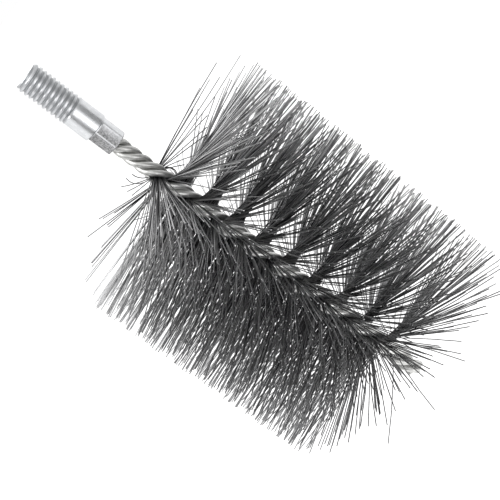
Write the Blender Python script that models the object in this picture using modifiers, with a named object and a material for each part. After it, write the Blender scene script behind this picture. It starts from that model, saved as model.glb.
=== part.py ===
"""Chimney sweep brush: steel bristles gripped by four twisted wires, crimped into a threaded ferrule.

The origin is the centre of the flat end of the threaded stud, +Z points out of that end, and the brush
runs along -Z. A "depth" is a distance below the origin. Sizes are in metres and angles in radians.

The four stem wires are wound together left-handed. Along the bristles they part into two pairs, and the
middles of the bristles lie packed in the slot between the pairs, so the bristles wind round the stem as
a double helix. The packed middles are sliced across into fans, each with its strands standing on it.
"""

import math
import random

import bmesh
import bpy
import numpy as np
from mathutils import Matrix, Vector

# Ferrule: a turned rod with a 1/2 in Whitworth stud at one end and a crimped socket at the other
THREAD_DIAMETER = 0.0127
THREAD_TIP_DIAMETER = 0.0108
THREAD_CHAMFER_LENGTH = 0.0011
THREAD_LENGTH = 0.0224
THREAD_RUNOUT_LENGTH = 0.0009
BODY_DIAMETER = 0.0123
FERRULE_LENGTH = 0.0447
SOCKET_DEPTH = 0.020
FERRULE_SIDES = 48

# Hexagonal crimp, pressed into the socket end of the ferrule
CRIMP_LENGTH = 0.0103
CRIMP_SLOPE_LENGTH = 0.0012
CRIMP_ACROSS_FLATS = 0.0097
CRIMP_RIDGE_DIAMETER = 0.0110
CRIMP_END_ROUNDING = 0.0006
CRIMP_HEADING = math.radians(14)
CRIMP_FLATS = 6

# Stem: four wires twisted together, tighter where they are bare than where they hold bristles
WIRE_DIAMETER = 0.0026
BARE_STEM_LENGTH = 0.0191
SPREAD_LENGTH = 0.004
STEM_TAIL_LENGTH = 0.009
BARE_PITCH = 0.0215
BRISTLED_PITCH = 0.0282
SLOT_HEADING = math.radians(40)
WIRE_POINTS = 84

# Bristles
BRISTLED_LENGTH = 0.133
BRUSH_DIAMETER = 0.122
BRISTLE_DIAMETER = 0.0004
BRISTLE_LENGTH_SPREAD = 0.0015
STRAND_GAP = 0.0002
PACKED_LAYERS = 2
ONE_SIDED_LENGTH = 0.0095
FAN_COUNT = 10
FIRST_LEAN = math.radians(0.5)
LAST_LEAN = math.radians(2)
LEAN_SCATTER = math.radians(4)
SIDE_SCATTER = math.radians(1.5)
SEED = 7

# Running clearance between touching pieces, and how far cutters reach past what they cut
CLEARANCE = 0.0003
CUT_OVERRUN = 0.002

# Finishes: colour, roughness and how metallic
ZINC_FINISH = ((0.66, 0.68, 0.71), 0.34, 1.0)
WIRE_FINISH = ((0.30, 0.29, 0.27), 0.42, 1.0)
BRISTLE_FINISH = ((0.10, 0.10, 0.105), 0.40, 1.0)

# Places along the brush, as depths below the stud's end
CRIMP_START = FERRULE_LENGTH - CRIMP_LENGTH
SOCKET_BOTTOM = FERRULE_LENGTH - SOCKET_DEPTH
BRISTLES_START = FERRULE_LENGTH + BARE_STEM_LENGTH
BRISTLES_END = BRISTLES_START + BRISTLED_LENGTH
SPREAD_START = BRISTLES_START - SPREAD_LENGTH
STEM_END = BRISTLES_END + STEM_TAIL_LENGTH
PACKED_THICKNESS = PACKED_LAYERS * BRISTLE_DIAMETER


def solve(function, low, high, halvings=50):
    """The place between low and high where a rising function passes zero."""
    for _ in range(halvings):
        middle = (low + high) / 2
        if function(middle) < 0:
            low = middle
        else:
            high = middle
    return (low + high) / 2


def helix_distance(radius, angle, pitch):
    """The least distance between two equal coaxial helices that lie an angle apart."""
    lead = pitch / math.tau
    turn = np.linspace(0, angle, 400)
    squared = 2 * radius**2 * (1 - np.cos(angle - turn)) + (lead * turn) ** 2
    return math.sqrt(squared.min())


def slot_distance(along, across, pitch):
    """The least distance from a wire's centre, given along and across the slot, to the slot's middle."""
    lead = pitch / math.tau
    turn = np.linspace(0, math.pi / 2, 400)
    squared = (across * np.cos(turn) - along * np.sin(turn)) ** 2 + (lead * turn) ** 2
    return math.sqrt(squared.min())


def bare_radius():
    """How far out the wires' centres lie where four bare wires lie against each other."""
    apart = WIRE_DIAMETER + CLEARANCE
    return solve(lambda r: helix_distance(r, math.pi / 2, BARE_PITCH) - apart, 0, 4 * WIRE_DIAMETER)


def pair_offset(across):
    """Half the distance between the centres of one pair, which lies across the slot by the given offset."""
    apart = WIRE_DIAMETER + CLEARANCE

    def gap(along):
        angle = 2 * math.atan2(along, across)
        return helix_distance(math.hypot(along, across), angle, BRISTLED_PITCH) - apart

    return solve(gap, 0, 4 * WIRE_DIAMETER)


def slot_offset():
    """How far each pair's centres lie from the middle of the slot, with the packed bristles between."""
    apart = (WIRE_DIAMETER + PACKED_THICKNESS) / 2 + CLEARANCE
    return solve(
        lambda b: slot_distance(pair_offset(b), b, BRISTLED_PITCH) - apart,
        WIRE_DIAMETER / 2,
        4 * (WIRE_DIAMETER + PACKED_THICKNESS),
    )


BARE_RADIUS = bare_radius()
BARE_OFFSET = BARE_RADIUS / math.sqrt(2)
ACROSS_OFFSET = slot_offset()
ALONG_OFFSET = pair_offset(ACROSS_OFFSET)
STEM_RADIUS = BARE_RADIUS + WIRE_DIAMETER / 2
SOCKET_RADIUS = STEM_RADIUS + CLEARANCE
RIM_RADIUS = math.hypot(ALONG_OFFSET, ACROSS_OFFSET) + WIRE_DIAMETER / 2


def eased(share):
    """A smooth ramp from 0 to 1."""
    share = min(max(share, 0), 1)
    return share * share * (3 - 2 * share)


def slot_angle(depth):
    """The heading of the slot at a depth. The pitch eases over as the wires spread to take the bristles."""
    bare_rate = math.tau / BARE_PITCH
    bristled_rate = math.tau / BRISTLED_PITCH
    share = min(max((depth - SPREAD_START) / SPREAD_LENGTH, 0), 1)
    eased_length = SPREAD_LENGTH * (share**3 - share**4 / 2)
    full_length = max(depth - BRISTLES_START, 0)
    whole_change = SPREAD_LENGTH / 2
    turned = bare_rate * (depth - BRISTLES_START)
    turned += (bristled_rate - bare_rate) * (eased_length + full_length - whole_change)
    return SLOT_HEADING + turned


def wire_centre(depth, side_along, side_across):
    """The centre of one wire at a depth; the sides are 1 or -1, along and across the slot."""
    spread = eased((depth - SPREAD_START) / SPREAD_LENGTH)
    along = BARE_OFFSET + (ALONG_OFFSET - BARE_OFFSET) * spread
    across = BARE_OFFSET + (ACROSS_OFFSET - BARE_OFFSET) * spread
    place = Vector((side_along * along, side_across * across, -depth))
    return Matrix.Rotation(slot_angle(depth), 3, "Z") @ place


def lean(depth):
    """How far a bristle at a depth leans towards the tip of the brush: the end fans splay outwards."""
    share = (depth - BRISTLES_START) / BRISTLED_LENGTH
    return FIRST_LEAN * (1 - share) ** 3 + LAST_LEAN * share**3


def finish(name, look):
    """A Principled material from a colour, a roughness and a metallic value."""
    colour, roughness, metallic = look
    material = bpy.data.materials.new(name)
    material.use_nodes = True
    shader = material.node_tree.nodes["Principled BSDF"]
    shader.inputs["Base Color"].default_value = (*colour, 1)
    shader.inputs["Roughness"].default_value = roughness
    shader.inputs["Metallic"].default_value = metallic
    return material


def add_object(name, data, collection, look=None):
    """An object in a collection, with a material of its own where it has a look."""
    piece = bpy.data.objects.new(name, data)
    collection.objects.link(piece)
    if look:
        data.materials.append(finish(f"{name}_finish", look))
    return piece


def turn_profile(name, profile, steps, collection, look=None):
    """A profile of (radius, depth) points, down its outer side, turned about Z."""
    mesh = bpy.data.meshes.new(name)
    points = [(radius, 0, -depth) for radius, depth in profile]
    edges = [(i, i + 1) for i in range(len(points) - 1)]
    mesh.from_pydata(points, edges, [])
    piece = add_object(name, mesh, collection, look)
    screw = piece.modifiers.new("turn", "SCREW")
    screw.axis = "Z"
    screw.angle = math.tau
    screw.steps = steps
    screw.render_steps = steps
    screw.use_merge_vertices = True
    screw.merge_threshold = 1e-6
    return piece


def add_ferrule(collection, cutters):
    """The turned ferrule, with its socket, and its socket end pressed to a hexagon by the crimping die."""
    end_radius = CRIMP_RIDGE_DIAMETER / 2 - CRIMP_END_ROUNDING
    profile = [
        (0, 0),
        (THREAD_TIP_DIAMETER / 2, 0),
        (THREAD_DIAMETER / 2, THREAD_CHAMFER_LENGTH),
        (THREAD_DIAMETER / 2, THREAD_LENGTH),
        (BODY_DIAMETER / 2, THREAD_LENGTH + THREAD_RUNOUT_LENGTH),
        (BODY_DIAMETER / 2, CRIMP_START),
        (CRIMP_RIDGE_DIAMETER / 2, CRIMP_START + CRIMP_SLOPE_LENGTH),
        (CRIMP_RIDGE_DIAMETER / 2, FERRULE_LENGTH - CRIMP_END_ROUNDING),
        (end_radius, FERRULE_LENGTH),
        (SOCKET_RADIUS, FERRULE_LENGTH),
        (SOCKET_RADIUS, SOCKET_BOTTOM),
        (0, SOCKET_BOTTOM),
    ]
    ferrule = turn_profile("threaded_ferrule", profile, FERRULE_SIDES, collection, ZINC_FINISH)

    corner_share = 1 / math.cos(math.pi / CRIMP_FLATS)
    flat_corner = CRIMP_ACROSS_FLATS / 2 * corner_share
    clear_corner = (THREAD_DIAMETER / 2 + CUT_OVERRUN) * corner_share
    body_corner = BODY_DIAMETER / 2 * corner_share
    die_profile = [
        (0, -CUT_OVERRUN),
        (clear_corner, -CUT_OVERRUN),
        (clear_corner, THREAD_LENGTH + THREAD_RUNOUT_LENGTH),
        (body_corner, CRIMP_START),
        (flat_corner, CRIMP_START + CRIMP_SLOPE_LENGTH),
        (flat_corner, FERRULE_LENGTH + CUT_OVERRUN),
        (0, FERRULE_LENGTH + CUT_OVERRUN),
    ]
    die = turn_profile("crimping_die", die_profile, CRIMP_FLATS, cutters)
    die.rotation_euler.z = CRIMP_HEADING
    die.hide_render = True
    die.display_type = "WIRE"

    crimp = ferrule.modifiers.new("crimp", "BOOLEAN")
    crimp.operation = "INTERSECT"
    crimp.solver = "EXACT"
    crimp.object = die

    bpy.context.view_layer.update()
    depsgraph = bpy.context.evaluated_depsgraph_get()
    pressed = bpy.data.meshes.new_from_object(ferrule.evaluated_get(depsgraph))
    pressed.name = ferrule.name
    pressed.shade_smooth()
    pressed.set_sharp_from_angle(angle=math.radians(25))
    ferrule.modifiers.clear()
    ferrule.data = pressed
    return ferrule


def add_stem_wire(number, side_along, side_across, collection):
    """One wire of the stem, from the bottom of the socket to its cut end past the bristles.

    Its cut end lies askew to the socket's bottom, so its centre starts half a wire lower.
    """
    start = SOCKET_BOTTOM + CLEARANCE + WIRE_DIAMETER / 2
    curve = bpy.data.curves.new(f"stem_wire_{number}", "CURVE")
    curve.dimensions = "3D"
    curve.bevel_depth = WIRE_DIAMETER / 2
    curve.bevel_resolution = 2
    curve.use_fill_caps = True
    spline = curve.splines.new("POLY")
    spline.points.add(WIRE_POINTS - 1)
    for point, depth in zip(spline.points, np.linspace(start, STEM_END, WIRE_POINTS)):
        point.co = (*wire_centre(float(depth), side_along, side_across), 1)
    spline.use_smooth = True
    return add_object(curve.name, curve, collection, WIRE_FINISH)


def stand_strand(face, scatter):
    """Draws a strand out of a small face on the rim, along its own direction."""
    centre = face.calc_center_median()
    outward = Vector((centre.x, centre.y, 0)).normalized()
    outward.rotate(Matrix.Rotation(scatter.uniform(-SIDE_SCATTER, SIDE_SCATTER), 3, "Z"))
    tilt = lean(-centre.z) + scatter.uniform(-LEAN_SCATTER, LEAN_SCATTER)
    direction = outward * math.cos(tilt) + Vector((0, 0, -math.sin(tilt)))
    length = BRUSH_DIAMETER / 2 - RIM_RADIUS - scatter.uniform(0, BRISTLE_LENGTH_SPREAD)
    for corner in face.verts:
        corner.co += direction * length


def shape_root(face):
    """Makes a cell on the rim a square of the bristle's size, about the cell's middle."""
    centre = face.calc_center_median()
    outward = Vector((centre.x, centre.y, 0)).normalized()
    along = (face.verts[1].co - face.verts[0].co).normalized()
    along = (along - outward * along.dot(outward)).normalized()
    across = outward.cross(along)
    half = BRISTLE_DIAMETER / 2
    sides = ((-1, -1), (1, -1), (1, 1), (-1, 1))
    for corner, (side_along, side_across) in zip(face.verts, sides):
        corner.co = centre + (along * side_along + across * side_across) * half


def carries_strand(face):
    """Whether a strand stands on a face: on both rims, but on one rim only where the bristles start."""
    if -face.calc_center_median().z < BRISTLES_START + ONE_SIDED_LENGTH:
        return face.normal.x < -0.5
    return abs(face.normal.x) > 0.5


def add_fan(number, collection, scatter):
    """A slice of the packed bristles, twisted with the slot, with two rows of strands on its rims."""
    slice_pitch = BRISTLED_LENGTH / FAN_COUNT
    slice_length = slice_pitch - CLEARANCE
    middle_depth = BRISTLES_START + (number - 0.5) * slice_pitch
    rows = max(round(slice_length / (BRISTLE_DIAMETER + STRAND_GAP)), 1)

    mesh = bmesh.new()
    bmesh.ops.create_cube(mesh, size=1)
    bmesh.ops.scale(mesh, vec=(2 * RIM_RADIUS, PACKED_THICKNESS, slice_length), verts=mesh.verts)
    bmesh.ops.translate(mesh, vec=(0, 0, -middle_depth), verts=mesh.verts)
    long_edges = [e for e in mesh.edges if abs(e.verts[0].co.z - e.verts[1].co.z) > slice_length / 2]
    bmesh.ops.subdivide_edges(mesh, edges=long_edges, cuts=rows - 1, use_grid_fill=True)
    mesh.normal_update()
    rims = [face for face in mesh.faces if carries_strand(face)]
    for vertex in mesh.verts:
        vertex.co.rotate(Matrix.Rotation(slot_angle(-vertex.co.z), 3, "Z"))
    mesh.normal_update()

    bmesh.ops.inset_individual(mesh, faces=rims, thickness=STRAND_GAP / 2)
    for face in rims:
        shape_root(face)
    strands = bmesh.ops.extrude_discrete_faces(mesh, faces=rims)["faces"]
    for face in strands:
        stand_strand(face, scatter)

    data = bpy.data.meshes.new(f"bristle_fan_{number:02d}")
    mesh.to_mesh(data)
    mesh.free()
    return add_object(data.name, data, collection, BRISTLE_FINISH)


def main():
    """Clears the scene and builds the brush."""
    for old in list(bpy.data.objects):
        bpy.data.objects.remove(old)
    brush = bpy.data.collections.new("chimney_sweep_brush")
    cutters = bpy.data.collections.new("cutters")
    for collection in (brush, cutters):
        bpy.context.scene.collection.children.link(collection)

    add_ferrule(brush, cutters)
    corners = ((1, 1), (-1, 1), (-1, -1), (1, -1))
    for number, (side_along, side_across) in enumerate(corners, start=1):
        add_stem_wire(number, side_along, side_across, brush)
    scatter = random.Random(SEED)
    for number in range(1, FAN_COUNT + 1):
        add_fan(number, brush, scatter)


if __name__ == "__main__":
    main()
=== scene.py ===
import math
import random

import bmesh
import bpy
import numpy as np
from bpy.props import FloatProperty, FloatVectorProperty, IntProperty, PointerProperty
from mathutils import Matrix, Vector


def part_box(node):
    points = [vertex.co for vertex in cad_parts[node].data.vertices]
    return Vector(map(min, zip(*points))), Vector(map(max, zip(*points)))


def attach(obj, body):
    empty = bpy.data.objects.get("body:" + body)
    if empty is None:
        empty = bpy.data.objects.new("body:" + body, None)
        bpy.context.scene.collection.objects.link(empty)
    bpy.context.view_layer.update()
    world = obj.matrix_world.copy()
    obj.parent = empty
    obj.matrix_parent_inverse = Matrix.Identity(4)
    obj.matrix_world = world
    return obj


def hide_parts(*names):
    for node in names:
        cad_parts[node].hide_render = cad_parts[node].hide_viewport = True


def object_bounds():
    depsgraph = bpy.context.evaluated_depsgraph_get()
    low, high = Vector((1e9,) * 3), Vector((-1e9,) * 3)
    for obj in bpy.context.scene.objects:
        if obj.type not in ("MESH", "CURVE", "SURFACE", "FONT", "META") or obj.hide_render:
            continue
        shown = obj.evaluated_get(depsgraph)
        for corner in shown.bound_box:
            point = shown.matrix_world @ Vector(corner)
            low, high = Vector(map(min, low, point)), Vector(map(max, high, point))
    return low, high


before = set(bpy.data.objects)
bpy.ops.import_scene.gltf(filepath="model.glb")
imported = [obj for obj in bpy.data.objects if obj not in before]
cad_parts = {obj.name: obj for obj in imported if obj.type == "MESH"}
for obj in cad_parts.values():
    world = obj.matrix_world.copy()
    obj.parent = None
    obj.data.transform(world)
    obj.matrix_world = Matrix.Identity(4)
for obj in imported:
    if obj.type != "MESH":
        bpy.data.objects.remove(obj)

bl_info = {
    "name": "Chimney Sweep Brush",
    "version": (1, 0, 0),
    "blender": (4, 5, 0),
    "location": "3D View > Sidebar > Sweep Brush",
    "description": "Dresses the packed chimney sweep brush: threaded ferrule, twisted wires and bristles",
    "category": "Object",
}

# The brush hangs from the flat end of its threaded stud, at the origin, along -Z. A "depth" is a distance
# below the origin. Sizes are in metres and angles in radians. Points closer than SAME_PLACE are one point.
CAD_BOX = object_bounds()
BODY = "root"
FERRULE_TOP, FERRULE_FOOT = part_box("threaded_ferrule")[1].z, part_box("threaded_ferrule")[0].z
BRUSH_FOOT = CAD_BOX[0].z
STRAND_REACH = min(CAD_BOX[1].x, -CAD_BOX[0].x, CAD_BOX[1].y, -CAD_BOX[0].y)
SAME_PLACE = 1e-6


def size(name, description, default):
    """A length that a user may change."""
    kind = {"unit": "LENGTH", "subtype": "DISTANCE", "precision": 5}
    return FloatProperty(name=name, description=description, default=default, min=0, **kind)


def turn(name, description, degrees):
    """An angle that a user may change."""
    kind = {"unit": "ROTATION", "subtype": "ANGLE"}
    return FloatProperty(name=name, description=description, default=math.radians(degrees), **kind)


def share(name, description, default):
    """A plain number that a user may change."""
    return FloatProperty(name=name, description=description, default=default, min=0)


def count(name, description, default):
    """A whole number that a user may change."""
    return IntProperty(name=name, description=description, default=default, min=0)


def colour(name, description, default):
    """A colour that a user may change."""
    kind = {"min": 0, "max": 1, "size": 3, "subtype": "COLOR"}
    return FloatVectorProperty(name=name, description=description, default=default, **kind)


class FerruleSettings(bpy.types.PropertyGroup):
    """Sizes and colours of the threaded ferrule."""

    length: size("Length", "From the stud's flat end to the crimped mouth", FERRULE_TOP - FERRULE_FOOT)
    thread_diameter: size("Thread diameter", "Across the crests of the stud's thread", 0.0127)
    tip_diameter: size("Tip diameter", "Across the stud's flat end, inside its chamfer", 0.0109)
    chamfer_length: size("Chamfer length", "Length of the chamfer at the stud's end", 0.0018)
    thread_pitch: size("Thread pitch", "From crest to crest, twelve to the inch", 0.0021167)
    crest_width: size("Crest width", "Width of the flat left on each crest", 0.0004)
    thread_start: size("Thread start", "How far along its pitch the thread starts at the stud's end", 0.00078)
    crest_rounding: size("Crest rounding", "Radius that softens both edges of each crest", 0.0003)
    thread_length: size("Thread length", "Length of the threaded stud", 0.0224)
    runout_length: size("Run-out length", "Where the last groove fades into the body", 0.0009)
    body_diameter: size("Body diameter", "Across the plain round body", 0.0123)
    socket_diameter: size("Socket diameter", "Across the socket that holds the twisted wires", 0.00784)
    socket_depth: size("Socket depth", "How far the socket reaches in from the mouth", 0.020)
    crimp_length: size("Crimp length", "Length of the part pressed to a hexagon", 0.0106)
    crimp_slope: size("Crimp slope", "Length of the step from the body down to the flats", 0.0005)
    crimp_flats: size("Crimp across flats", "Across two opposite flats of the hexagon", 0.0098)
    crimp_ridges: size("Crimp across ridges", "Across two opposite ridges of the hexagon", 0.0110)
    mouth_rounding: size("Mouth rounding", "How far the ridges round over at the mouth", 0.0006)
    crimp_heading: turn("Crimp heading", "How far the hexagon is turned about the brush", 11)
    crimp_offset: size("Crimp offset", "How far the die has pressed the hexagon off the stud's axis", 0.0004)
    panel_border: size("Panel border", "From the die's corners to the middle that it presses deeper", 0.0005)
    panel_depth: size("Panel depth", "How deep the die has pressed each flat's middle", 0.0001)
    seam_width: size("Seam width", "Width of the step down to each flat's middle", 0.0003)
    pressed_depth: size("Pressed depth", "How deep the die has gone where a flat is wholly bruised", 0.00015)
    # Crest wear and groove depth set how far the thread is made rougher and painted darker; groove zinc is
    # the painted shade in its grooves and on its chamfer
    crest_wear: size("Crest wear", "How dull the thread's crests are, as a depth of groove", 0.00009)
    groove_depth: size("Groove depth", "How deep a groove is where it looks quite dull", 0.0004)
    zinc: colour("Zinc", "Bright zinc plating", (0.71, 0.72, 0.735))
    dull_zinc: colour("Dull zinc", "Zinc plating gone dull in streaks", (0.54, 0.55, 0.565))
    groove_shade_zinc: colour("Groove zinc", "Zinc plating in the grooves of the thread", (0.49, 0.50, 0.51))
    rubbed_flat: colour("Rubbed flat", "The pressed flats where they are rubbed bright", (0.54, 0.54, 0.545))
    bruised_flat: colour("Bruised flat", "The pressed flats in the pits of their grain", (0.22, 0.22, 0.225))
    # Painted shade along the step round each flat's pressed middle
    seam: colour("Seam", "The fine seams that the die's edges have left on the flats", (0.11, 0.11, 0.11))


class StemSettings(bpy.types.PropertyGroup):
    """Sizes and colours of the four twisted wires."""

    wire_diameter: size("Wire diameter", "Across one stem wire", 0.00285)
    bare_offset: size("Bare offset", "Each bare wire's centre from the axis, along and across", 0.0016365)
    along_offset: size("Offset along", "Each wire's centre from the axis, along the slot", 0.0016334)
    across_offset: size("Offset across", "Each wire's centre from the axis, across the slot", 0.0022125)
    bare_pitch: size("Bare pitch", "Length of one turn where the wires are bare", 0.0215)
    bristled_pitch: size("Bristled pitch", "Length of one turn along the bristles", 0.0282)
    spread_length: size("Spread length", "Over which the wires part to take the bristles", 0.004)
    slot_heading: turn("Slot heading", "Which way the first bristles point", 40)
    bright: colour("Bright steel", "Drawn steel wire, rubbed bright", (0.66, 0.66, 0.645))
    dull: colour("Dull steel", "Drawn steel wire, dull and dusty", (0.38, 0.38, 0.37))
    # Painted light: the wires among the bristles are painted near white, against the shade that the bristles
    # cast, fading out towards the cut tail
    clean: colour("Clean steel", "The wire where the bristles have kept it clean", (0.95, 0.95, 0.94))
    painted_light_share: share("Clean share", "How much of the clean colour shows there", 0.65)
    painted_light_start: size("Clean start", "Depth where that colour begins to show", 0.064)
    painted_light_full: size("Clean in full", "Depth from which it shows in full", 0.078)
    tail_start: size("Tail start", "Depth where it begins to fade towards the cut tail", 0.187)
    tail_end: size("Tail end", "Depth where the last of it is gone", 0.199)


class BristleSettings(bpy.types.PropertyGroup):
    """Sizes, numbers and colours of the bristles."""

    first_depth: size("First bristles", "Depth of the first bristles below the stud's end", 0.0638)
    bristled_length: size("Bristled length", "Length of the stem that holds bristles", 0.133)
    wire_diameter: size("Bristle diameter", "Across one bristle", 0.00044)
    uneven_length: size("Uneven length", "How much shorter the shortest bristles are", 0.002)
    bow: size("Bow", "How far a bristle is bowed out of straight", 0.00035)
    exit_radius: size("Exit radius", "Where a bristle leaves the wires that grip it", 0.0021)
    layer_width: size("Layer width", "Half the width of the packed bristles in the slot", 0.00042)
    wires: count("Bristle wires", "Wires through the stem, each with two ends", 1380)
    layers: count("Layers", "Layers of wires in the slot, whose ends lean apart", 5)
    seed: count("Seed", "Chooses how the bristles scatter", 11)
    lean: turn("Lean", "How far the bristles lean to the brush's tip", 1)
    right_lean: turn("Right lean", "How much further the bristles on the +X side lean to the tip", -2.2)
    first_lean: turn("First lean", "How far the first bristles lean to the brush's tip", 8)
    last_lean: turn("Last lean", "How much further the last bristles lean to the tip", 2.5)
    last_right_lean: turn("Last right lean", "How much further still the last ones on the +X side lean", 10)
    layer_lean: turn("Layer lean", "How far the outer layers lean either way along the brush", 5)
    right_spread: share("Right spread", "How much further apart the layers lean on the +X side", 0.25)
    lean_scatter: turn("Lean scatter", "Spread of the bristles' leans within a layer", 1.3)
    side_scatter: turn("Side scatter", "Spread of the bristles round the brush", 1.5)
    stray_share: share("Stray share", "Share of the bristles' ends that stand well away from the rest", 0.08)
    trim_offset: size("Trim offset", "How far off the stem's axis the brush is trimmed round", 0.0012)
    packed_start: share("Packed start", "How much closer together the bristles stand near the ferrule", 0.06)
    one_sided: size("One-sided start", "Length at the start where wires stand out on one side only", 0.0095)
    one_sided_end: size("One-sided end", "Length at the end where most wires stand out so", 0.0105)
    one_sided_share: share("One-sided share", "Share of the wires of the one-sided end that are so", 0.8)
    sparse_end: size("Sparse end", "Length at the end over which the bristles thin out", 0.013)
    # Painted light: the first bristles, near the ferrule, are painted brighter, as the lamp above lights them
    # most
    ferrule_painted_light_end: size("Rubbed end", "Depth to which the bristles near the ferrule are rubbed brighter", 0.13)
    ferrule_painted_light_share: share("Rubbed share", "How much brighter the first bristles are", 0.2)
    # Tips brighter than the roots near the stem, partly as tip wear; the least bright point is set off to +X,
    # so the -X side is brighter, which is painted light
    tip_brightening_share: share("Worn share", "How much brighter all the tips are than the roots", 0.22)
    painted_shade_offset: size("Least worn offset", "How far to +X the bristles are least worn", 0.012)
    dark_root_reach: size("Unworn reach", "How far from there the bristles are as good as new", 0.015)
    bright_tip_reach: size("Worn reach", "How far from there they are fully worn", 0.072)
    # The bright end of the bristles' own shades, which the painted light and the tip wear below also lean
    # towards
    bright: colour("Bright bristle", "Tempered steel where it has been rubbed", (0.50, 0.50, 0.505))
    dark: colour("Dark bristle", "Tempered steel as drawn", (0.018, 0.018, 0.02))


class StageSettings(bpy.types.PropertyGroup):
    """The camera, the lamps and the floor."""

    focal_length: share("Focal length", "In millimetres, for a sensor 36 mm wide", 104.4)
    camera_distance: size("Camera distance", "From the camera to the middle of the brush", 0.593)
    camera_tilt: turn("Camera tilt", "How far the camera looks down on the brush", 16)
    camera_roll: turn("Camera roll", "How far the camera is rolled about its view", 53.1)
    aim_depth: size("Aim depth", "Depth of the point of the axis that the camera aims near", 0.1148)
    aim_left: size("Aim left", "How far the camera stands left of that point", 0.001125)
    aim_down: size("Aim down", "How far the camera stands below that point", 0.001472)
    floor_gap: size("Floor gap", "From the brush's tip to the floor", 0.094)
    floor_radius: size("Floor radius", "Radius of the floor", 6)
    floor: colour("Floor", "Colour of the pale floor", (0.86, 0.86, 0.86))
    floor_glow: share("Floor glow", "How brightly the floor is seen and mirrored beside its colour", 0.55)
    room_light: share("Room light", "How strongly the white room lights the brush", 0.55)
    card: colour("Dark cards", "Colour of the two cards that darken the metal", (0.34, 0.34, 0.34))


class BrushSettings(bpy.types.PropertyGroup):
    """All that a user may change on the brush."""

    ferrule: PointerProperty(type=FerruleSettings)
    stem: PointerProperty(type=StemSettings)
    bristles: PointerProperty(type=BristleSettings)
    stage: PointerProperty(type=StageSettings)


# Tools shared by the pieces


def deselect_all():
    """Leaves nothing selected, in object mode."""
    if bpy.context.object and bpy.context.object.mode != "OBJECT":
        bpy.ops.object.mode_set(mode="OBJECT")
    bpy.ops.object.select_all(action="DESELECT")


def make_active(piece):
    """Selects one object alone and makes it active."""
    deselect_all()
    piece.select_set(True)
    bpy.context.view_layer.objects.active = piece


def settle(piece, material):
    """Applies a piece's place, gives it its finish and lets it ride on the brush's one body."""
    make_active(piece)
    bpy.ops.object.transform_apply()
    piece.data.materials.clear()
    piece.data.materials.append(material)
    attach(piece, BODY)


def weld(piece, sharp_angle):
    """Merges doubled points, turns the faces outwards and smooths edges below an angle in degrees."""
    make_active(piece)
    bpy.ops.object.mode_set(mode="EDIT")
    bpy.ops.mesh.select_all(action="SELECT")
    bpy.ops.mesh.remove_doubles(threshold=SAME_PLACE)
    bpy.ops.mesh.normals_make_consistent(inside=False)
    bpy.ops.object.mode_set(mode="OBJECT")
    bpy.ops.object.shade_smooth_by_angle(angle=math.radians(sharp_angle))


def check_closed(piece):
    """Raises an error if a piece has an open or doubled edge."""
    mesh = bmesh.new()
    mesh.from_mesh(piece.data)
    open_edges = sum(not edge.is_manifold for edge in mesh.edges)
    volume = mesh.calc_volume(signed=True)
    mesh.free()
    if open_edges or volume <= 0:
        raise RuntimeError(f"{piece.name} has {open_edges} open edges and a volume of {volume:.3g}")


def eased(x):
    """A smooth ramp from 0 to 1."""
    x = min(max(x, 0), 1)
    return x * x * (3 - 2 * x)


def slot_angle(depth, stem, first_depth):
    """The heading of the slot at a depth. The pitch eases over as the wires part to take the bristles."""
    bare_rate = math.tau / stem.bare_pitch
    bristled_rate = math.tau / stem.bristled_pitch
    spread = min(max((depth - first_depth) / stem.spread_length + 1, 0), 1)
    eased_length = stem.spread_length * (spread**3 - spread**4 / 2)
    full_length = max(depth - first_depth, 0)
    turned = bare_rate * (depth - first_depth)
    turned += (bristled_rate - bare_rate) * (eased_length + full_length - stem.spread_length / 2)
    return stem.slot_heading + turned


def wire_centre(depth, side_along, side_across, stem, first_depth):
    """The centre of one stem wire at a depth; the sides are 1 or -1, along and across the slot."""
    spread = eased((depth - first_depth) / stem.spread_length + 1)
    along = stem.bare_offset + (stem.along_offset - stem.bare_offset) * spread
    across = stem.bare_offset + (stem.across_offset - stem.bare_offset) * spread
    place = Vector((side_along * along, side_across * across, -depth))
    return Matrix.Rotation(slot_angle(depth, stem, first_depth), 3, "Z") @ place


# Finishes


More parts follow.
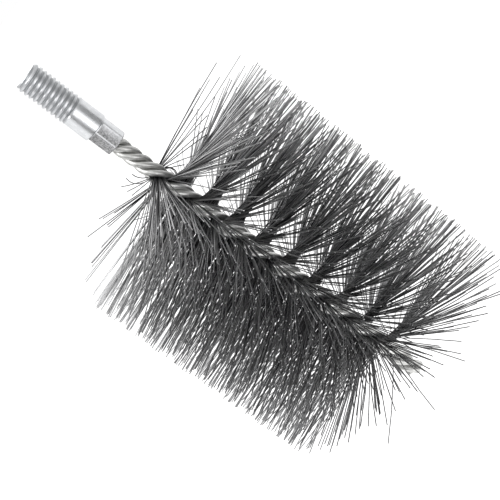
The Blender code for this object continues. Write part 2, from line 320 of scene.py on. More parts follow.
class Finish:
    """A metal finish, built node by node."""

    def __init__(self, name):
        self.material = bpy.data.materials.new(name)
        self.material.use_nodes = True
        self.nodes = self.material.node_tree.nodes
        self.links = self.material.node_tree.links
        self.shader = self.nodes["Principled BSDF"]
        self.shader.inputs["Metallic"].default_value = 1

    def add(self, kind, **values):
        """A node with its settings; inputs are given by name with spaces as underscores."""
        node = self.nodes.new(kind)
        for key, value in values.items():
            if hasattr(node, key):
                setattr(node, key, value)
            else:
                node.inputs[key.replace("_", " ")].default_value = value
        return node

    def link(self, output, node, name):
        """Leads an output to the input of a node that has that name."""
        self.links.new(output, node.inputs[name])

    def stretched(self, vector, stretch):
        """A coordinate, stretched along each axis."""
        mapping = self.add("ShaderNodeMapping", Scale=stretch)
        self.link(vector, mapping, "Vector")
        return mapping.outputs["Vector"]

    def place(self, stretch=(1, 1, 1)):
        """The piece's own coordinates, stretched."""
        return self.stretched(self.add("ShaderNodeTexCoord").outputs["Object"], stretch)

    def height(self):
        """How high each point of the piece lies."""
        parts = self.add("ShaderNodeSeparateXYZ")
        self.link(self.place(), parts, "Vector")
        return parts.outputs["Z"]

    def mark(self, name):
        """The node that reads a mark stored on the piece's points."""
        return self.add("ShaderNodeAttribute", attribute_name=name)

    def noise(self, vector, scale, detail=3.0, roughness=0.6):
        """Noise over a coordinate."""
        node = self.add("ShaderNodeTexNoise", Scale=scale, Detail=detail, Roughness=roughness)
        self.link(vector, node, "Vector")
        return node.outputs["Fac"]

    def spread(self, value, low, high, from_low=0.3, from_high=0.7):
        """A value moved from one range to another."""
        node = self.add("ShaderNodeMapRange", From_Min=from_low, From_Max=from_high, To_Min=low, To_Max=high)
        self.link(value, node, "Value")
        return node.outputs["Result"]

    def between(self, value, first, second, start=0.3, end=0.7):
        """A colour that changes from one to another as a value rises."""
        node = self.add("ShaderNodeValToRGB")
        node.color_ramp.elements[0].position = start
        node.color_ramp.elements[0].color = (*first, 1)
        node.color_ramp.elements[1].position = end
        node.color_ramp.elements[1].color = (*second, 1)
        self.link(value, node, "Fac")
        return node.outputs["Color"]

    def mixed(self, amount, first, second):
        """A colour mixed with an amount of a second, which may be a plain colour."""
        node = self.add("ShaderNodeMix", data_type="RGBA")
        sockets = {socket.identifier: socket for socket in node.inputs}
        self.links.new(amount, sockets["Factor_Float"])
        self.links.new(first, sockets["A_Color"])
        if isinstance(second, bpy.types.NodeSocket):
            self.links.new(second, sockets["B_Color"])
        else:
            sockets["B_Color"].default_value = (*second, 1)
        return next(socket for socket in node.outputs if socket.identifier == "Result_Color")

    def combine(self, operation, first, second):
        """Two values put together; the second may be a plain number."""
        node = self.add("ShaderNodeMath", operation=operation)
        self.links.new(first, node.inputs[0])
        if isinstance(second, (int, float)):
            node.inputs[1].default_value = second
        else:
            self.links.new(second, node.inputs[1])
        return node.outputs["Value"]

    def blend(self, first, second, part):
        """Two values added up, a part of the first and the rest of the second."""
        first = self.combine("MULTIPLY", first, part)
        return self.combine("ADD", first, self.combine("MULTIPLY", second, 1 - part))

    def bump(self, height, distance, strength, after=None):
        """Raises the surface by a height."""
        node = self.add("ShaderNodeBump", Strength=strength, Distance=distance)
        self.link(height, node, "Height")
        if after:
            self.link(after, node, "Normal")
        return node.outputs["Normal"]


def zinc_finish(settings):
    """Bright zinc: streaks along the rod, a faint bloom, rougher grooves with painted shade, and bruised
    flats with painted shade along their seams.
    """
    zinc = Finish("bright_zinc_plate")
    streaks = zinc.noise(zinc.place((1, 1, 0.03)), 2600, detail=4.0, roughness=0.65)
    fine = zinc.noise(zinc.place((1, 1, 0.02)), 9000, detail=2.0, roughness=0.5)
    bloom = zinc.noise(zinc.place(), 420, detail=4.0)
    grain = zinc.noise(zinc.place(), 1700, detail=2.0)
    dull_and_shaded, pressed, seam_shaded = (zinc.mark(name).outputs["Fac"] for name in FERRULE_MARKS)
    mottle = zinc.blend(streaks, bloom, 0.55)
    # Painted shade: the thread's grooves and its chamfer are painted darker, and made rougher, the deeper
    # they are cut
    shade = zinc.combine("ADD", mottle, zinc.combine("MULTIPLY", dull_and_shaded, 0.6))
    base = zinc.between(shade, settings.zinc, settings.dull_zinc, 0.38, 0.74)
    groove_shade_stop = base.node.color_ramp.elements.new(1.0)
    groove_shade_stop.color = (*settings.groove_shade_zinc, 1)
    flats = zinc.between(grain, settings.bruised_flat, settings.rubbed_flat, 0.38, 0.62)
    # The pressed flats' own grain, and painted shade along the step round each flat's pressed middle
    base = zinc.mixed(seam_shaded, zinc.mixed(pressed, base, flats), settings.seam)
    zinc.link(base, zinc.shader, "Base Color")
    polish = zinc.spread(shade, 0.24, 0.46, from_low=0.35, from_high=0.8)
    roughness = zinc.combine("ADD", polish, zinc.combine("MULTIPLY", pressed, 0.4))
    zinc.link(roughness, zinc.shader, "Roughness")
    relief = zinc.bump(fine, distance=0.000006, strength=0.6)
    relief = zinc.bump(streaks, distance=0.00001, strength=0.5, after=relief)
    relief = zinc.bump(bloom, distance=0.00002, strength=0.35, after=relief)
    bruises = zinc.combine("MULTIPLY", pressed, grain)
    relief = zinc.bump(bruises, distance=0.00012, strength=0.8, after=relief)
    zinc.link(relief, zinc.shader, "Normal")
    return zinc.material


def stem_finish(settings):
    """Drawn steel wire: die marks along each wire, dull patches, and painted light on the wires among the
    bristles.
    """
    steel = Finish("drawn_stem_steel")
    wire_frame = steel.mark("wire_frame").outputs["Vector"]
    drawn = steel.noise(steel.stretched(wire_frame, (1, 1, 14)), 2.6, detail=4.0)
    marks = steel.noise(steel.stretched(wire_frame, (1, 1, 6)), 9.0, detail=2.0, roughness=0.5)
    blotch = steel.noise(steel.place(), 520)
    mottle = steel.blend(drawn, blotch, 0.6)
    height = steel.height()
    # Painted light among the bristles, against their shade, fading out towards the cut tail
    painted_light_mask = steel.spread(height, settings.painted_light_share, 0, -settings.painted_light_full, -settings.painted_light_start)
    above_tail = steel.spread(height, 0, 1, -settings.tail_end, -settings.tail_start)
    base = steel.between(mottle, settings.dull, settings.bright, 0.36, 0.64)
    base = steel.mixed(steel.combine("MULTIPLY", painted_light_mask, above_tail), base, settings.clean)
    steel.link(base, steel.shader, "Base Color")
    steel.link(steel.spread(mottle, 0.50, 0.30, 0.35, 0.65), steel.shader, "Roughness")
    relief = steel.bump(marks, distance=0.00001, strength=0.6)
    relief = steel.bump(blotch, distance=0.00003, strength=0.4, after=relief)
    steel.link(relief, steel.shader, "Normal")
    return steel.material


def bristle_finish(settings):
    """Blued steel wire: each bristle has its own shade; the first ones are brighter by painted light, and the
    tips by wear, with painted light on the -X side.
    """
    steel = Finish("blued_bristle_steel")
    own = steel.add("ShaderNodeNewGeometry").outputs["Random Per Island"]
    patches = steel.noise(steel.place(), 150)
    # Painted light near the ferrule, over the tip wear that every bristle has
    low, high = settings.tip_brightening_share, settings.tip_brightening_share + settings.ferrule_painted_light_share
    rubbed = steel.spread(steel.height(), low, high, -settings.ferrule_painted_light_end, -settings.first_depth)
    # Brightness grows outwards from a point set off to +X: tip wear, with painted light on the -X side
    out = steel.add("ShaderNodeVectorMath", operation="DISTANCE")
    out.inputs[1].default_value = (settings.painted_shade_offset, 0, 0)
    steel.link(steel.place((1, 1, 0)), out, "Vector")
    outward = steel.spread(out.outputs["Value"], 0, 1, settings.dark_root_reach, settings.bright_tip_reach)
    worn = steel.combine("MULTIPLY", rubbed, outward)
    shade = steel.combine("ADD", steel.blend(own, patches, 0.65), worn)
    base = steel.between(shade, settings.dark, settings.bright, 0.3, 1.0)
    steel.link(base, steel.shader, "Base Color")
    steel.link(steel.spread(patches, 0.30, 0.46), steel.shader, "Roughness")
    fine = steel.noise(steel.place(), 4000, detail=2.0, roughness=0.5)
    steel.link(steel.bump(fine, distance=0.000004, strength=0.5), steel.shader, "Normal")
    return steel.material


# Ferrule


FERRULE_SIDES = 128
STUD_RINGS = 222
FERRULE_MARKS = ("dull_and_shaded", "pressed", "seam_shaded")

# How far the sharp edges of the stud's end and the mouth are broken, and how deep at the stud's end
EDGE_BREAK = 0.0002
TIP_BREAK_DEPTH = 0.00006

# The thread's first rings, by their step in from the crests and their depth, and the run-out's last step, out
# from the body and up from its end
FIRST_RINGS = ((0.0001, 0.00025), (0, 0.0004))
RUNOUT_STEP = (0.00005, 0.00025)
MOUTH_STEPS = 6

# How far the crimping die reaches past the ferrule, its sides, half the angle that each of them takes up, and
# how near to a flat a point counts as on it
DIE_OVERRUN = 0.002
DIE_SIDES = 6
HALF_FLAT = math.pi / DIE_SIDES
ON_FLAT = 2e-5

# The form of the thread: its root's radius as a share of the pitch, and the slope of its flanks
ROOT_ROUNDING = 0.1373
FLANK_ANGLE = math.radians(27.5)


def draw_on(radius, depth, last_radius, last_depth):
    """Extrudes the selected face of a turned blank down to a depth and brings it to a radius."""
    bpy.ops.mesh.extrude_region_move(TRANSFORM_OT_translate={"value": (0, 0, last_depth - depth)})
    scale = radius / last_radius
    bpy.ops.transform.resize(value=(scale, scale, 1), center_override=(0, 0, -depth))


def turned_blank(name, profile, sides):
    """A solid turned about Z, drawn on from a disc along a profile of radius and depth."""
    deselect_all()
    (radius, depth), *rest = profile
    place = (0, 0, -depth)
    bpy.ops.mesh.primitive_circle_add(vertices=sides, radius=radius, fill_type="NGON", location=place)
    blank = bpy.context.object
    blank.name = blank.data.name = name
    bpy.ops.object.transform_apply()
    bpy.ops.object.mode_set(mode="EDIT")
    bpy.ops.mesh.select_all(action="SELECT")
    for next_radius, next_depth in rest:
        draw_on(next_radius, next_depth, radius, depth)
        radius, depth = next_radius, next_depth
    bpy.ops.mesh.select_all(action="SELECT")
    bpy.ops.mesh.normals_make_consistent(inside=False)
    bpy.ops.object.mode_set(mode="OBJECT")
    return blank


def ferrule_profile(f):
    """The ferrule before it is crimped, as radius and depth, down its outside and up its socket."""
    tip, crest, body = f.tip_diameter / 2, f.thread_diameter / 2, f.body_diameter / 2
    ridge, socket = f.crimp_ridges / 2, f.socket_diameter / 2
    thread_end = f.thread_length + f.runout_length
    slope_start = f.length - f.crimp_length
    points = [
        (tip - EDGE_BREAK, 0),
        (tip, TIP_BREAK_DEPTH),
        *((crest - step_in, depth) for step_in, depth in FIRST_RINGS),
        (crest, f.thread_length),
        (body + RUNOUT_STEP[0], thread_end - RUNOUT_STEP[1]),
        (body, thread_end),
        (body, slope_start),
        (ridge, slope_start + f.crimp_slope),
    ]
    for step in range(MOUTH_STEPS + 1):
        angle = math.pi / 2 * step / MOUTH_STEPS
        radius = ridge - f.mouth_rounding * (1 - math.cos(angle))
        points.append((radius, f.length - f.mouth_rounding * (1 - math.sin(angle))))
    return points + [
        (socket + EDGE_BREAK, f.length),
        (socket, f.length - EDGE_BREAK),
        (socket, f.length - f.socket_depth),
    ]


def crimping_die(f):
    """The hexagonal space between the closed jaws of the crimping die, each jaw raised in its middle."""
    to_corner = 1 / math.cos(HALF_FLAT)
    wide = (f.thread_diameter / 2 + DIE_OVERRUN) * to_corner
    flat = f.crimp_flats / 2 * to_corner
    slope_start = f.length - f.crimp_length
    flats_start = slope_start + f.crimp_slope
    profile = [
        (wide, -DIE_OVERRUN),
        (wide, f.thread_length + f.runout_length),
        (f.body_diameter / 2 * to_corner, slope_start),
        (flat, flats_start),
        (flat, f.length),
        (flat, f.length + DIE_OVERRUN),
    ]
    die = turned_blank("crimping_die", profile, DIE_SIDES)

    def is_flat(face):
        return flats_start < -face.center.z < f.length and abs(face.normal.z) < 0.01

    select_where(die, "FACE", is_flat)
    bpy.ops.mesh.inset(thickness=f.panel_border, depth=0, use_individual=True)
    bpy.ops.mesh.inset(thickness=f.seam_width, depth=-f.panel_depth, use_individual=True)
    bpy.ops.object.mode_set(mode="OBJECT")
    make_active(die)
    bpy.ops.transform.rotate(value=HALF_FLAT - f.crimp_heading, orient_axis="Z", center_override=(0, 0, 0))
    bpy.ops.transform.translate(value=(f.crimp_offset, 0, 0))
    bpy.ops.object.transform_apply()
    return die


def press(piece, die):
    """Keeps what a piece and a die have in common, and takes the die away."""
    make_active(piece)
    crimp = piece.modifiers.new("crimp", "BOOLEAN")
    crimp.operation = "INTERSECT"
    crimp.solver = "EXACT"
    crimp.object = die
    bpy.ops.object.modifier_apply(modifier=crimp.name)
    bpy.data.objects.remove(die)


def select_where(piece, kind, wanted):
    """Selects the faces or the edges that a test picks, in edit mode."""
    make_active(piece)
    bpy.ops.object.mode_set(mode="EDIT")
    bpy.ops.mesh.select_mode(type=kind)
    bpy.ops.mesh.select_all(action="DESELECT")
    bpy.ops.object.mode_set(mode="OBJECT")
    parts = piece.data.polygons if kind == "FACE" else piece.data.edges
    for part in parts:
        part.select = wanted(part)
    bpy.ops.object.mode_set(mode="EDIT")


def thread_cut(height, pitch, land, soft):
    """How deep the thread is cut at a height above the middle of a crest.

    Its crests are left broad, with softened edges, and its roots are round.
    """
    rounding = ROOT_ROUNDING * pitch
    arc = rounding * math.cos(FLANK_ANGLE)
    soft_arc = soft * math.cos(FLANK_ANGLE)
    soft_depth = soft * (1 - math.sin(FLANK_ANGLE))
    away = abs((height / pitch + 0.5) % 1 - 0.5) * pitch - land / 2
    width = pitch / 2 - land / 2
    if away < 0:
        return 0
    if away < soft_arc:
        return soft - math.sqrt(soft**2 - away**2)
    if away > width - arc:
        flank_depth = (width - arc - soft_arc) / math.tan(FLANK_ANGLE)
        full = soft_depth + rounding * (1 - math.sin(FLANK_ANGLE)) + flank_depth
        return full - (rounding - math.sqrt(rounding**2 - (width - away) ** 2))
    return soft_depth + (away - soft_arc) / math.tan(FLANK_ANGLE)


def is_on_seam(place, f):
    """Whether a point of a crimped flat lies where the die's middle begins to press deeper."""
    around = math.atan2(place.y, place.x - f.crimp_offset) - f.crimp_heading
    from_middle = (around + HALF_FLAT) % (2 * HALF_FLAT) - HALF_FLAT
    radius = math.hypot(place.x - f.crimp_offset, place.y)
    half_width = f.crimp_flats / 2 * math.tan(HALF_FLAT) - f.panel_border
    on_flat = abs(radius * math.cos(from_middle) - f.crimp_flats / 2) < ON_FLAT
    inside = abs(radius * math.sin(from_middle)) < half_width + ON_FLAT
    return on_flat and inside and -place.z < f.length - f.panel_border / 2


def cut_thread(ferrule, f):
    """Cuts the thread and the chamfer into the stud by moving the points of its close rings inwards.

    No edit tool rounds a helical thread's crests and roots and fades it out, so its points are set in code.
    The same round marks each point for the finish: how deep in a groove, for rougher zinc and painted shade
    in the grooves and on the chamfer, how far pressed, and how near the seams, for a painted shade line along
    them.
    """
    crest, body, ridge = f.thread_diameter / 2, f.body_diameter / 2, f.crimp_ridges / 2
    end = f.thread_length + f.runout_length
    slope_start = f.length - f.crimp_length
    inside_end_face = f.tip_diameter / 2 - 0.0005
    outside_socket = f.socket_diameter / 2 + 0.0005
    fade_start, fade_length = f.thread_length - 0.0006, f.runout_length + 0.0004
    points = ferrule.data.vertices
    marks = {name: np.zeros(len(points), np.float32) for name in FERRULE_MARKS}
    for index, point in enumerate(points):
        depth = -point.co.z
        radius = math.hypot(point.co.x, point.co.y)
        if depth > slope_start and radius > outside_socket:
            sloped = min((depth - slope_start) / f.crimp_slope, 1)
            unpressed = body + (ridge - body) * sloped
            marks["pressed"][index] = min(max((unpressed - radius) / f.pressed_depth, 0), 1)
            # Points on the step round a flat's pressed middle are marked for painted shade
            marks["seam_shaded"][index] = is_on_seam(point.co, f)
        if not 0 < depth < end or radius < inside_end_face:
            continue
        angle = math.atan2(point.co.y, point.co.x)
        height = depth + f.thread_pitch * angle / math.tau + f.thread_start
        cut = thread_cut(height, f.thread_pitch, f.crest_width, f.crest_rounding)
        cut *= 1 - eased((depth - fade_start) / fade_length)
        chamfer = (f.tip_diameter + (f.thread_diameter - f.tip_diameter) * depth / f.chamfer_length) / 2
        # How deep each point is cut, with a floor on the crests: it paints shade into the grooves and onto
        # the chamfer, and makes them rougher
        dull = max(cut, crest - chamfer, f.crest_wear)
        marks["dull_and_shaded"][index] = min(dull / f.groove_depth, 1)
        new_radius = min(radius, crest - cut, chamfer)
        point.co.x *= new_radius / radius
        point.co.y *= new_radius / radius
    for name, values in marks.items():
        ferrule.data.attributes.new(name, "FLOAT", "POINT").data.foreach_set("value", values)


class SWEEPBRUSH_OT_threaded_ferrule(bpy.types.Operator):
    """Turns the zinc-plated ferrule, crimps its socket end to a hexagon and cuts the thread on its stud"""

    bl_idname = "sweepbrush.threaded_ferrule"
    bl_label = "Threaded ferrule"

    def execute(self, context):
        f = context.scene.sweep_brush.ferrule
        ferrule = turned_blank("ferrule", ferrule_profile(f), FERRULE_SIDES)
        press(ferrule, crimping_die(f))

        def is_along_stud(edge):
            first, second = (ferrule.data.vertices[index].co for index in edge.vertices)
            along = first - second
            half = f.thread_length / 2
            return along.xy.length < SAME_PLACE and abs(along.z) > half and -max(first.z, second.z) < half

        select_where(ferrule, "EDGE", is_along_stud)
        bpy.ops.mesh.subdivide(number_cuts=STUD_RINGS)
        bpy.ops.object.mode_set(mode="OBJECT")
        cut_thread(ferrule, f)
        weld(ferrule, sharp_angle=32)
        settle(ferrule, zinc_finish(f))
        check_closed(ferrule)
        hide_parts("threaded_ferrule")
        return {"FINISHED"}


# Stem


WIRE_POINTS = 420

# How far the wires stay inside their solids' box, at their hidden tops and at their cut ends
TOP_MARGIN = 0.0002
TAIL_MARGIN = 0.0009

# How much shorter each wire is cut, and the rounded edge of its cut end, as steps down and parts of its width
CUT_SHORT = (0, 0.0007, 0.0002, 0.0004)
CUT_EDGE = ((0.00012, 0.96), (0.0002, 0.86))


def tube(name, lines, radius, roundness):
    """One mesh of round wires along lines of points; each line is a list of (place, width)."""
    curve = bpy.data.curves.new(name, "CURVE")
    curve.dimensions = "3D"
    curve.bevel_depth = radius
    curve.bevel_resolution = roundness
    curve.use_fill_caps = True
    for line in lines:
        spline = curve.splines.new("POLY")
        spline.points.add(len(line) - 1)
        for point, (place, width) in zip(spline.points, line):
            point.co = (*place, 1)
            point.radius = width
        spline.use_smooth = True
    piece = bpy.data.objects.new(name, curve)
    bpy.context.scene.collection.objects.link(piece)
    make_active(piece)
    bpy.ops.object.convert(target="MESH")
    piece = bpy.context.object
    piece.name = piece.data.name = name
    weld(piece, sharp_angle=50)
    return piece


def mark_wire(piece, centre_at):
    """Stores where each point lies round its wire and along it, for the die marks."""
    marks = np.zeros((len(piece.data.vertices), 3), np.float32)
    for index, point in enumerate(piece.data.vertices):
        centre = centre_at(-point.co.z)
        out = Vector((point.co.x - centre.x, point.co.y - centre.y))
        angle = math.atan2(out.y, out.x) - math.atan2(centre.y, centre.x)
        marks[index] = (math.cos(angle), math.sin(angle), point.co.z)
    stored = piece.data.attributes.new("wire_frame", "FLOAT_VECTOR", "POINT")
    stored.data.foreach_set("vector", marks.ravel())


class SWEEPBRUSH_OT_stem_wires(bpy.types.Operator):
    """Winds the four stem wires together, left-handed, parted in two pairs along the bristles"""

    bl_idname = "sweepbrush.stem_wires"
    bl_label = "Stem wires"

    def execute(self, context):
        stem = context.scene.sweep_brush.stem
        first_depth = context.scene.sweep_brush.bristles.first_depth
        finish = stem_finish(stem)
        corners = ((1, 1), (-1, 1), (-1, -1), (1, -1))
        for number, (corner, short) in enumerate(zip(corners, CUT_SHORT), start=1):
            low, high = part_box(f"stem_wire_{number}")
            start = -high.z + TOP_MARGIN
            end = -low.z - TAIL_MARGIN - short

            def centre_at(depth):
                return wire_centre(depth, *corner, stem, first_depth)

            line = [(centre_at(float(depth)), 1) for depth in np.linspace(start, end, WIRE_POINTS)]
            line += [(centre_at(end + step), width) for step, width in CUT_EDGE]
            wire = tube(f"twisted_wire_{number}", [line], stem.wire_diameter / 2, roundness=6)
            mark_wire(wire, centre_at)
            settle(wire, finish)
            check_closed(wire)
            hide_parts(f"stem_wire_{number}")
        return {"FINISHED"}


# Bristles


# How far the lowest ends stay above the solids' foot, how many steps a bent end takes, how much more strays
# scatter, how much of the exit radius a left-off end keeps, and how much more a curled end bows
FOOT_MARGIN = 0.0006
BENT_STEPS = 6
STRAY_SPREAD = 3
STUB_LENGTHS = (0.6, 0.9)
BOW_FOR_CURL = 40

# The loose ends of some wires, in runs: the side that they stand out on, the number of the run's first wire,
# counted from the last where it is below 0, the step from each wire to the next, and for each end its heading
# and lean in degrees, its length in metres (0 reaches the brush's outside) and its tip's curl in degrees. The
# curl of an end that reaches the outside only adds to its bow.
LOOSE_ENDS = (
    (1, 0, 1, (
        (28, -1.5, 0, 1),
        (30, 0, 0.050, 0),
        (35, -1, 0.047, 0),
        (32, 0.3, 0.041, 0),
        (32, 0.5, 0.034, 1),
        (8, 0.5, 0, 2),
        (9, 0, 0.046, -3),
        (10, 6, 0.031, 3),
        (12, 14, 0.0275, 0),
        (14, 18, 0.026, 2),
        (16, 29, 0.0168, 8),
        (18, 38, 0.0118, 6),
        (12, 20, 0.012, 130),
        (16, 24, 0.0105, 125),
    )),
    (-1, 0, 2, (
        (182, -36, 0.0090, -52),
        (184, -18, 0.0122, -80),
        (178, -31, 0.0135, -12),
        (188, -24, 0.0125, -4),
        (180, -14, 0.012, 0),
    )),
    (-1, 41, 1, (
        (183, -21, 0.0300, -2),
        (186, -20, 0.0285, -3),
        (178, -17, 0.0240, -2),
        (184, -15, 0.0290, 0),
        (190, -14, 0.0300, 0),
        (181, -16, 0.0380, -1),
        (186, -7, 0.0370, 0),
        (178, -6, 0.0370, 0),
        (184, -5, 0.0440, 0),
        (190, -5, 0.0460, 0),
        (176, -4, 0.0450, 0),
        (186, -3, 0.0510, 0),
        (180, -1, 0.0520, 0),
    )),
    (-1, -57, 1, (
        (18, 16, 0.0470, 2),
        (24, 18, 0.0460, 0),
        (12, 17, 0.0430, 3),
        (30, 19, 0.0440, 0),
        (16, 21, 0.0400, 2),
        (8, 24, 0.0350, 0),
        (20, 15, 0.0500, 0),
    )),
)


def loose_end(number, side, wires):
    """The loose end of a wire on one side, or None if it stands out like the rest."""
    for run_side, first, step, ends in LOOSE_ENDS:
        index, rest = divmod(number - first - (wires if first < 0 else 0), step)
        if run_side == side and rest == 0 and 0 <= index < len(ends):
            return ends[index]
    return None


def pointing(heading, lean):
    """The way of an end that points to a heading and leans to the brush's tip."""
    return Vector((math.cos(heading) * math.cos(lean), math.sin(heading) * math.cos(lean), -math.sin(lean)))


def bent_end(root, heading, lean, length, curl):
    """An end that leaves at one lean and curls over to another along its length."""
    places = [root]
    for step in range(BENT_STEPS):
        way = pointing(heading, lean + curl * (step / (BENT_STEPS - 1)) ** 1.5)
        places.append(places[-1] + way * (length / BENT_STEPS))
    return places


def standing_end(root, way, reach, trim_offset, bow):
    """A nearly straight end that stands out as far as the brush's trimmed outside."""
    flat = Vector((way.x, way.y))
    start = Vector((root.x - trim_offset, root.y))
    ahead = start.dot(flat)
    length = -ahead + math.sqrt(ahead**2 + flat.length_squared * (reach**2 - start.length_squared))
    length /= flat.length_squared
    lowest = BRUSH_FOOT + FOOT_MARGIN
    if root.z + way.z * length < lowest:
        length = (lowest - root.z) / way.z
    return [root + way * (length * s) + bow * (4 * s * (1 - s)) for s in (0, 0.3, 0.65, 1)]


def bristle_line(number, depth, settings, scatter):
    """One bristle wire: its middle gripped in a layer of the slot, its two ends standing out either side."""
    b, stem = settings.bristles, settings.stem
    slot = slot_angle(depth, stem, b.first_depth)
    forward = Vector((math.cos(slot), math.sin(slot), 0))
    sideways = Vector((-math.sin(slot), math.cos(slot), 0))
    layer = number * 2 % b.layers / (b.layers - 1) * 2 - 1
    middle = sideways * (layer * b.layer_width) + Vector((0, 0, -depth))
    along = (depth - b.first_depth) / b.bristled_length

    ends = []
    for side in (1, -1):
        root = middle + forward * (side * b.exit_radius)
        stray = STRAY_SPREAD if scatter.random() < b.stray_share else 1
        heading = slot + math.pi * (side < 0) + scatter.gauss(0, b.side_scatter * stray)
        right = math.cos(heading)
        lean = b.lean + b.right_lean * right + side * layer * b.layer_lean * (1 + b.right_spread * right)
        lean += (b.first_lean - b.lean) * (1 - along) ** 10
        lean += (b.last_lean + b.last_right_lean * right) * along**6
        lean += scatter.gauss(0, b.lean_scatter * stray)
        short = scatter.random() ** 2 * b.uneven_length
        bend = Vector([scatter.gauss(0, 1) for _ in range(3)])
        length, curl = 0, 0
        left_off = depth < b.first_depth + b.one_sided
        if depth > b.first_depth + b.bristled_length - b.one_sided_end:
            left_off = scatter.random() < b.one_sided_share
        loose = loose_end(number, side, b.wires)
        if loose:
            heading, lean, length, curl = loose
            heading, lean, curl = math.radians(heading), math.radians(lean), math.radians(curl)
        elif side == 1 and left_off:
            length = b.exit_radius * scatter.uniform(*STUB_LENGTHS)
        if length:
            ends.append(bent_end(root, heading, lean, length, curl))
            continue
        way = pointing(heading, lean)
        bow = way.cross(bend) * (b.bow * (1 + curl * BOW_FOR_CURL))
        reach = STRAND_REACH - b.trim_offset - b.wire_diameter - short
        ends.append(standing_end(root, way, reach, b.trim_offset, bow))
    return [(place, 1) for place in (*reversed(ends[0]), middle, *ends[1])]


class SWEEPBRUSH_OT_bristles(bpy.types.Operator):
    """Sets the bristles in the slot between the stem wires, a slice of the winding at a time"""

    bl_idname = "sweepbrush.bristles"
    bl_label = "Bristles"

    def execute(self, context):
        settings = context.scene.sweep_brush
        b = settings.bristles
        scatter = random.Random(b.seed)
        finish = bristle_finish(b)
        fans = sorted(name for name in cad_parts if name.startswith("bristle_fan_"))
        slices = [[] for _ in fans]
        for number in range(b.wires):
            along = (number + scatter.random()) / b.wires
            along -= b.packed_start * along * (1 - along)
            depth = b.first_depth + b.bristled_length * along
            left = (1 - along) * b.bristled_length / b.sparse_end
            if left**1.5 < scatter.random():
                continue
            line = bristle_line(number, depth, settings, scatter)
            slices[min(int(along * len(fans)), len(fans) - 1)].append(line)
        for fan, lines in zip(fans, slices):
            name = fan.replace("bristle_fan", "bristles")
            bristles = tube(name, lines, b.wire_diameter / 2, roundness=1)
            settle(bristles, finish)
            check_closed(bristles)
            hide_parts(fan)
        return {"FINISHED"}


# Stage


def add_lamp(name, place, aim, side, radiance):
    """A square soft lamp; its radiance is what a mirror would show of it."""
    facing = (Vector(aim) - Vector(place)).to_track_quat("-Z", "Y").to_euler()
    bpy.ops.object.light_add(type="AREA", location=place, rotation=facing)
    lamp = bpy.context.object
    lamp.name = lamp.data.name = name
    lamp.data.shape = "SQUARE"
    lamp.data.size = side
    lamp.data.energy = radiance * math.pi * side**2
    lamp.visible_camera = False


def matte(name, tint, roughness):
    """A plain matte material."""
    material = bpy.data.materials.new(name)
    material.use_nodes = True
    shader = material.node_tree.nodes["Principled BSDF"]
    shader.inputs["Base Color"].default_value = (*tint, 1)
    shader.inputs["Roughness"].default_value = roughness
    return material


def add_flag(name, azimuth, width, foot, shade, distance=0.45, height=0.5):
    """A dark card standing on the floor, out of sight, that gives bright metal its dark bands."""
    place = (math.sin(azimuth) * distance, -math.cos(azimuth) * distance, foot + height / 2)
    bpy.ops.mesh.primitive_plane_add(size=1, location=place, rotation=(math.pi / 2, 0, azimuth))
    flag = bpy.context.object
    flag.name = flag.data.name = name
    flag.scale = (width, height, 1)
    bpy.ops.object.transform_apply()
    flag.data.materials.append(matte(name, shade, roughness=1))
    flag.visible_camera = False
    flag.visible_shadow = False
    flag.visible_diffuse = False


def seen_or_mirrored(nodes, links):
    """1 for what the camera sees straight, in gloss or through glass, and 0 for plain lighting."""
    path = nodes.new("ShaderNodeLightPath")
    total = path.outputs["Is Camera Ray"]
    for ray in ("Is Glossy Ray", "Is Transmission Ray"):
        larger = nodes.new("ShaderNodeMath")
        larger.operation = "MAXIMUM"
        links.new(total, larger.inputs[0])
        links.new(path.outputs[ray], larger.inputs[1])
        total = larger.outputs["Value"]
    return total


def floor_finish(settings):
    """A pale floor that keeps the brush's shadow and is white where nothing shades it."""
    material = matte("pale_floor", settings.floor, roughness=0.9)
    nodes, links = material.node_tree.nodes, material.node_tree.links
    shader = nodes["Principled BSDF"]
    glow = nodes.new("ShaderNodeMath")
    glow.operation = "MULTIPLY"
    links.new(seen_or_mirrored(nodes, links), glow.inputs[0])
    glow.inputs[1].default_value = settings.floor_glow
    shader.inputs["Emission Color"].default_value = (1, 1, 1, 1)
    links.new(glow.outputs["Value"], shader.inputs["Emission Strength"])
    return material


def light_world(room_light):
    """A soft even room: white where it is seen or mirrored, dimmer as a light."""
    world = bpy.data.worlds.new("studio")
    bpy.context.scene.world = world
    world.use_nodes = True
    nodes, links = world.node_tree.nodes, world.node_tree.links
    background = nodes["Background"]
    background.inputs["Color"].default_value = (1, 1, 1, 1)
    level = nodes.new("ShaderNodeMapRange")
    level.inputs["To Min"].default_value = room_light
    links.new(seen_or_mirrored(nodes, links), level.inputs["Value"])
    links.new(level.outputs["Result"], background.inputs["Strength"])


def add_camera(stage):
    """The camera at the photograph's angle: it looks down a little and is rolled about its view."""
    tilt, roll = stage.camera_tilt, stage.camera_roll
    back = Vector((0, -math.cos(tilt), math.sin(tilt)))
    right = Vector((1, 0, 0))
    up = back.cross(right)
    camera_right = right * math.cos(roll) - up * math.sin(roll)
    camera_up = right * math.sin(roll) + up * math.cos(roll)
    place = Vector((0, 0, -stage.aim_depth)) + back * stage.camera_distance
    place -= camera_right * stage.aim_left + camera_up * stage.aim_down
    pose = Matrix((camera_right, camera_up, back)).transposed().to_4x4()
    pose.translation = place
    bpy.ops.object.camera_add()
    camera = bpy.context.object
    camera.name = camera.data.name = "photo_camera"
    camera.matrix_world = pose
    camera.data.sensor_width = 36
    camera.data.lens = stage.focal_length
    camera.data.clip_start = 0.01
    camera.data.clip_end = 50
    bpy.context.scene.camera = camera


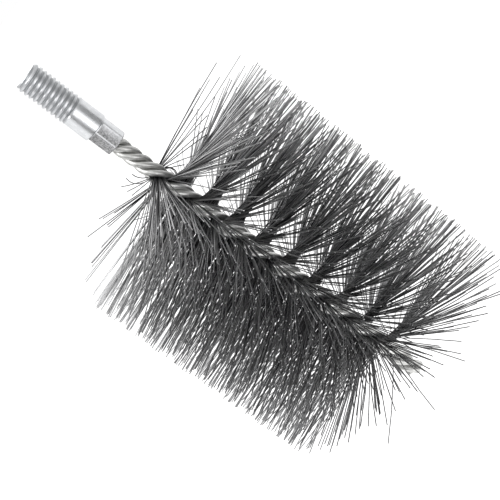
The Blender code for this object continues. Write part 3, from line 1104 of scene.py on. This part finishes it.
class SWEEPBRUSH_OT_stage(bpy.types.Operator):
    """Sets the camera, the pale floor and the soft lamps"""

    bl_idname = "sweepbrush.stage"
    bl_label = "Stage"

    def execute(self, context):
        stage = context.scene.sweep_brush.stage
        deselect_all()
        add_camera(stage)
        floor_height = BRUSH_FOOT - stage.floor_gap
        bpy.ops.mesh.primitive_circle_add(
            vertices=96, radius=stage.floor_radius, fill_type="NGON", location=(0, 0, floor_height)
        )
        floor = bpy.context.object
        floor.name = floor.data.name = "floor"
        floor.data.materials.append(floor_finish(stage))
        middle = (0, 0, BRUSH_FOOT / 2)
        stud = (0, 0, -0.03)
        add_lamp("top_softbox", (-0.45, -0.40, 0.95), aim=middle, side=0.9, radiance=4.0)
        add_lamp("low_front_softbox", (0.03, -0.52, -0.16), aim=stud, side=0.26, radiance=1.7)
        add_lamp("back_softbox", (0.3, 1.3, 0.45), aim=middle, side=0.9, radiance=1.4)
        add_flag("left_flag", math.radians(-38), width=0.27, foot=floor_height, shade=stage.card)
        add_flag("right_flag", math.radians(58), width=0.42, foot=floor_height, shade=stage.card)
        light_world(stage.room_light)
        bpy.context.scene.view_settings.view_transform = "Standard"
        return {"FINISHED"}


class SWEEPBRUSH_PT_panel(bpy.types.Panel):
    """Lists the brush's pieces and their sizes in the sidebar"""

    bl_idname = "SWEEPBRUSH_PT_panel"
    bl_label = "Chimney Sweep Brush"
    bl_space_type = "VIEW_3D"
    bl_region_type = "UI"
    bl_category = "Sweep Brush"

    def draw(self, context):
        settings = context.scene.sweep_brush
        parts = (
            (SWEEPBRUSH_OT_stage, settings.stage),
            (SWEEPBRUSH_OT_threaded_ferrule, settings.ferrule),
            (SWEEPBRUSH_OT_stem_wires, settings.stem),
            (SWEEPBRUSH_OT_bristles, settings.bristles),
        )
        for operator, group in parts:
            box = self.layout.box()
            box.operator(operator.bl_idname)
            for name in group.__annotations__:
                box.prop(group, name)


CLASSES = (
    FerruleSettings,
    StemSettings,
    BristleSettings,
    StageSettings,
    BrushSettings,
    SWEEPBRUSH_OT_threaded_ferrule,
    SWEEPBRUSH_OT_stem_wires,
    SWEEPBRUSH_OT_bristles,
    SWEEPBRUSH_OT_stage,
    SWEEPBRUSH_PT_panel,
)


def register():
    """Makes the settings, the operators and the panel known to Blender."""
    for kind in CLASSES:
        bpy.utils.register_class(kind)
    bpy.types.Scene.sweep_brush = PointerProperty(type=BrushSettings)


def unregister():
    """Takes them away again."""
    del bpy.types.Scene.sweep_brush
    for kind in reversed(CLASSES):
        bpy.utils.unregister_class(kind)


def main():
    register()
    bpy.ops.sweepbrush.stage()
    bpy.ops.sweepbrush.threaded_ferrule()
    bpy.ops.sweepbrush.stem_wires()
    bpy.ops.sweepbrush.bristles()


if __name__ == "__main__":
    main()
